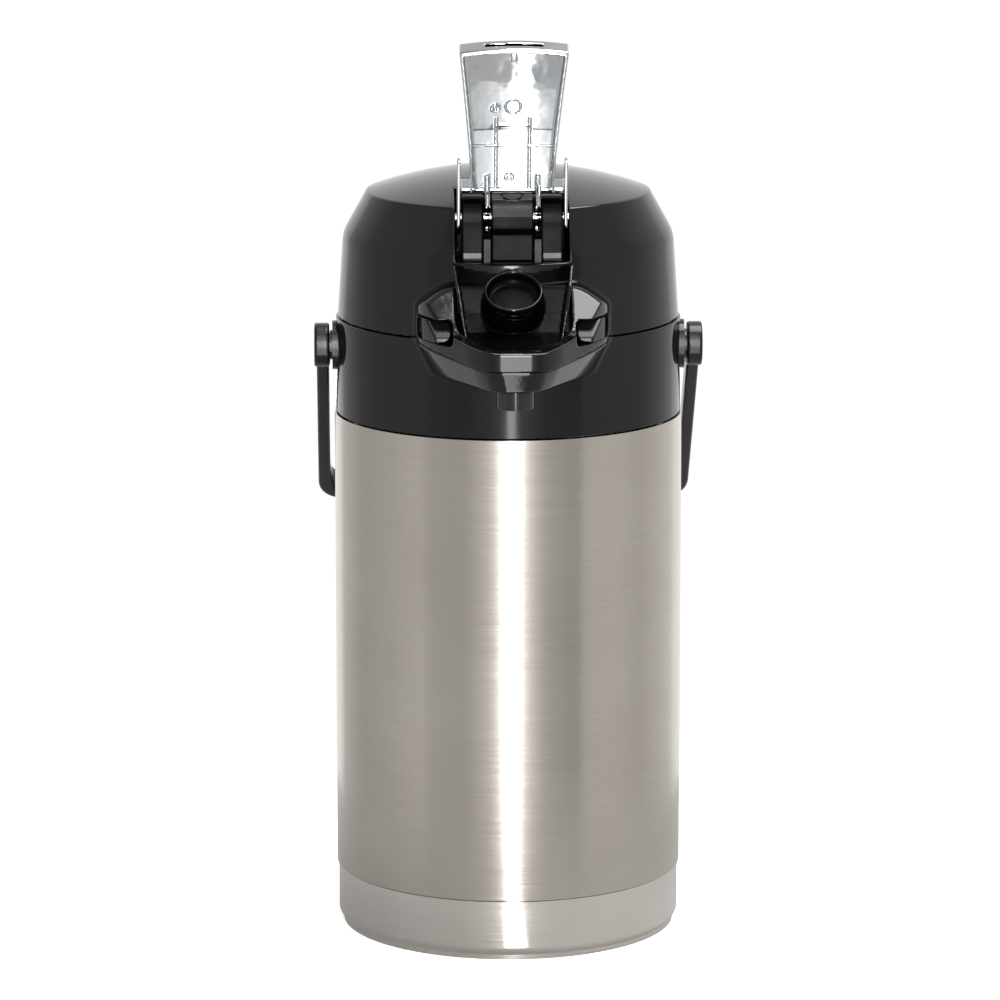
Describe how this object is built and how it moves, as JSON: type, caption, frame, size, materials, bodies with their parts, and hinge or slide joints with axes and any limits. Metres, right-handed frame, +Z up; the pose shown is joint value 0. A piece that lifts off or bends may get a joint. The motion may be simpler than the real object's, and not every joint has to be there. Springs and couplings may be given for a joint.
{
  "type": "pump pot",
  "caption": "Tall round vacuum pump pot with a hinged lid, a standing pump lever over a spout chin, and a swinging carrying bail.",
  "frame": {"origin": "centre of the underside of the foot, on the axis of the round body", "axes": "+Z up along the body's axis, -Y towards the spout, +X to the right seen from the spout's side"},
  "size_m": [0.184, 0.2346, 0.4361],
  "materials": {
    "brushed_steel": "fine circumferential brushing, warm grey",
    "base_steel": "lighter brushed band with a polished lip",
    "flask_steel": "bright drawn steel",
    "screw_steel": "plain steel",
    "black_gloss": "polished black moulding",
    "black_satin": "satin black moulding",
    "black_matte": "matte black moulding",
    "nozzle_gloss": "polished black",
    "white_plastic": "food-grade white plastic",
    "chrome_plate": "bright chrome plate on plastic",
    "seal_rubber": "grey silicone rubber"
  },
  "bodies": {
    "pot": {"base_ring": "base_steel", "bottom_plate": "black_matte", "foot_ring": "seal_rubber", "base_screws": "screw_steel", "outer_shell": "brushed_steel", "liner_cradle": "black_matte", "liner_jacket": "flask_steel", "liner_inner": "flask_steel", "neck_gasket": "seal_rubber", "neck_ring": "black_matte", "collar": "black_gloss", "stem_seat": "white_plastic", "dip_tube": "white_plastic", "check_ball": "screw_steel", "spout_pipe": "white_plastic", "nozzle": "nozzle_gloss", "nozzle_seal": "seal_rubber", "pivot_bosses": "black_satin", "pivot_screws": "screw_steel", "hinge_bracket": "black_satin", "hinge_pin": "screw_steel"},
    "lid": {"lid_shell": "black_gloss", "lid_base": "black_matte", "lid_screws": "screw_steel", "lid_gasket": "seal_rubber", "pivot_block": "black_matte", "lever_pin": "screw_steel", "bellows": "white_plastic", "bellows_spring": "screw_steel"},
    "lever": {"lever": "chrome_plate"},
    "pump_plate": {"pump_plate": "black_matte", "inlet_valve": "seal_rubber"},
    "latch": {"latch": "black_satin"},
    "handle": {"handle": "black_satin"}
  },
  "joints": [
    {"name": "lid_hinge", "type": "hinge", "parent": "pot", "child": "lid", "pos_m": [0, 0.0864, 0.2974], "axis": [-1, 0, 0], "range_deg": [0, 95]},
    {"name": "lever_press", "type": "hinge", "parent": "lid", "child": "lever", "pos_m": [0, -0.06, 0.35], "axis": [1, 0, 0], "range_deg": [0, 85], "stiffness_Nm_per_rad": 0.12, "springref_deg": -28.65},
    {"name": "pump_slide", "type": "slide", "parent": "lid", "child": "pump_plate", "axis": [0, 0, 1], "range_m": [-0.0141, 0], "deforming": ["bellows", "bellows_spring"]},
    {"name": "latch_push", "type": "slide", "parent": "lid", "child": "latch", "axis": [0, 1, 0], "range_m": [0, 0.004], "stiffness_N_per_m": 400, "springref_m": -0.002},
    {"name": "bail_swing", "type": "hinge", "parent": "pot", "child": "handle", "pos_m": [0, 0, 0.2803], "axis": [1, 0, 0], "range_deg": [0, 145]}
  ],
  "couplings": [
    {"joint": "pump_slide", "follows": "lever_press", "m_per_rad": -0.009437}
  ]
}
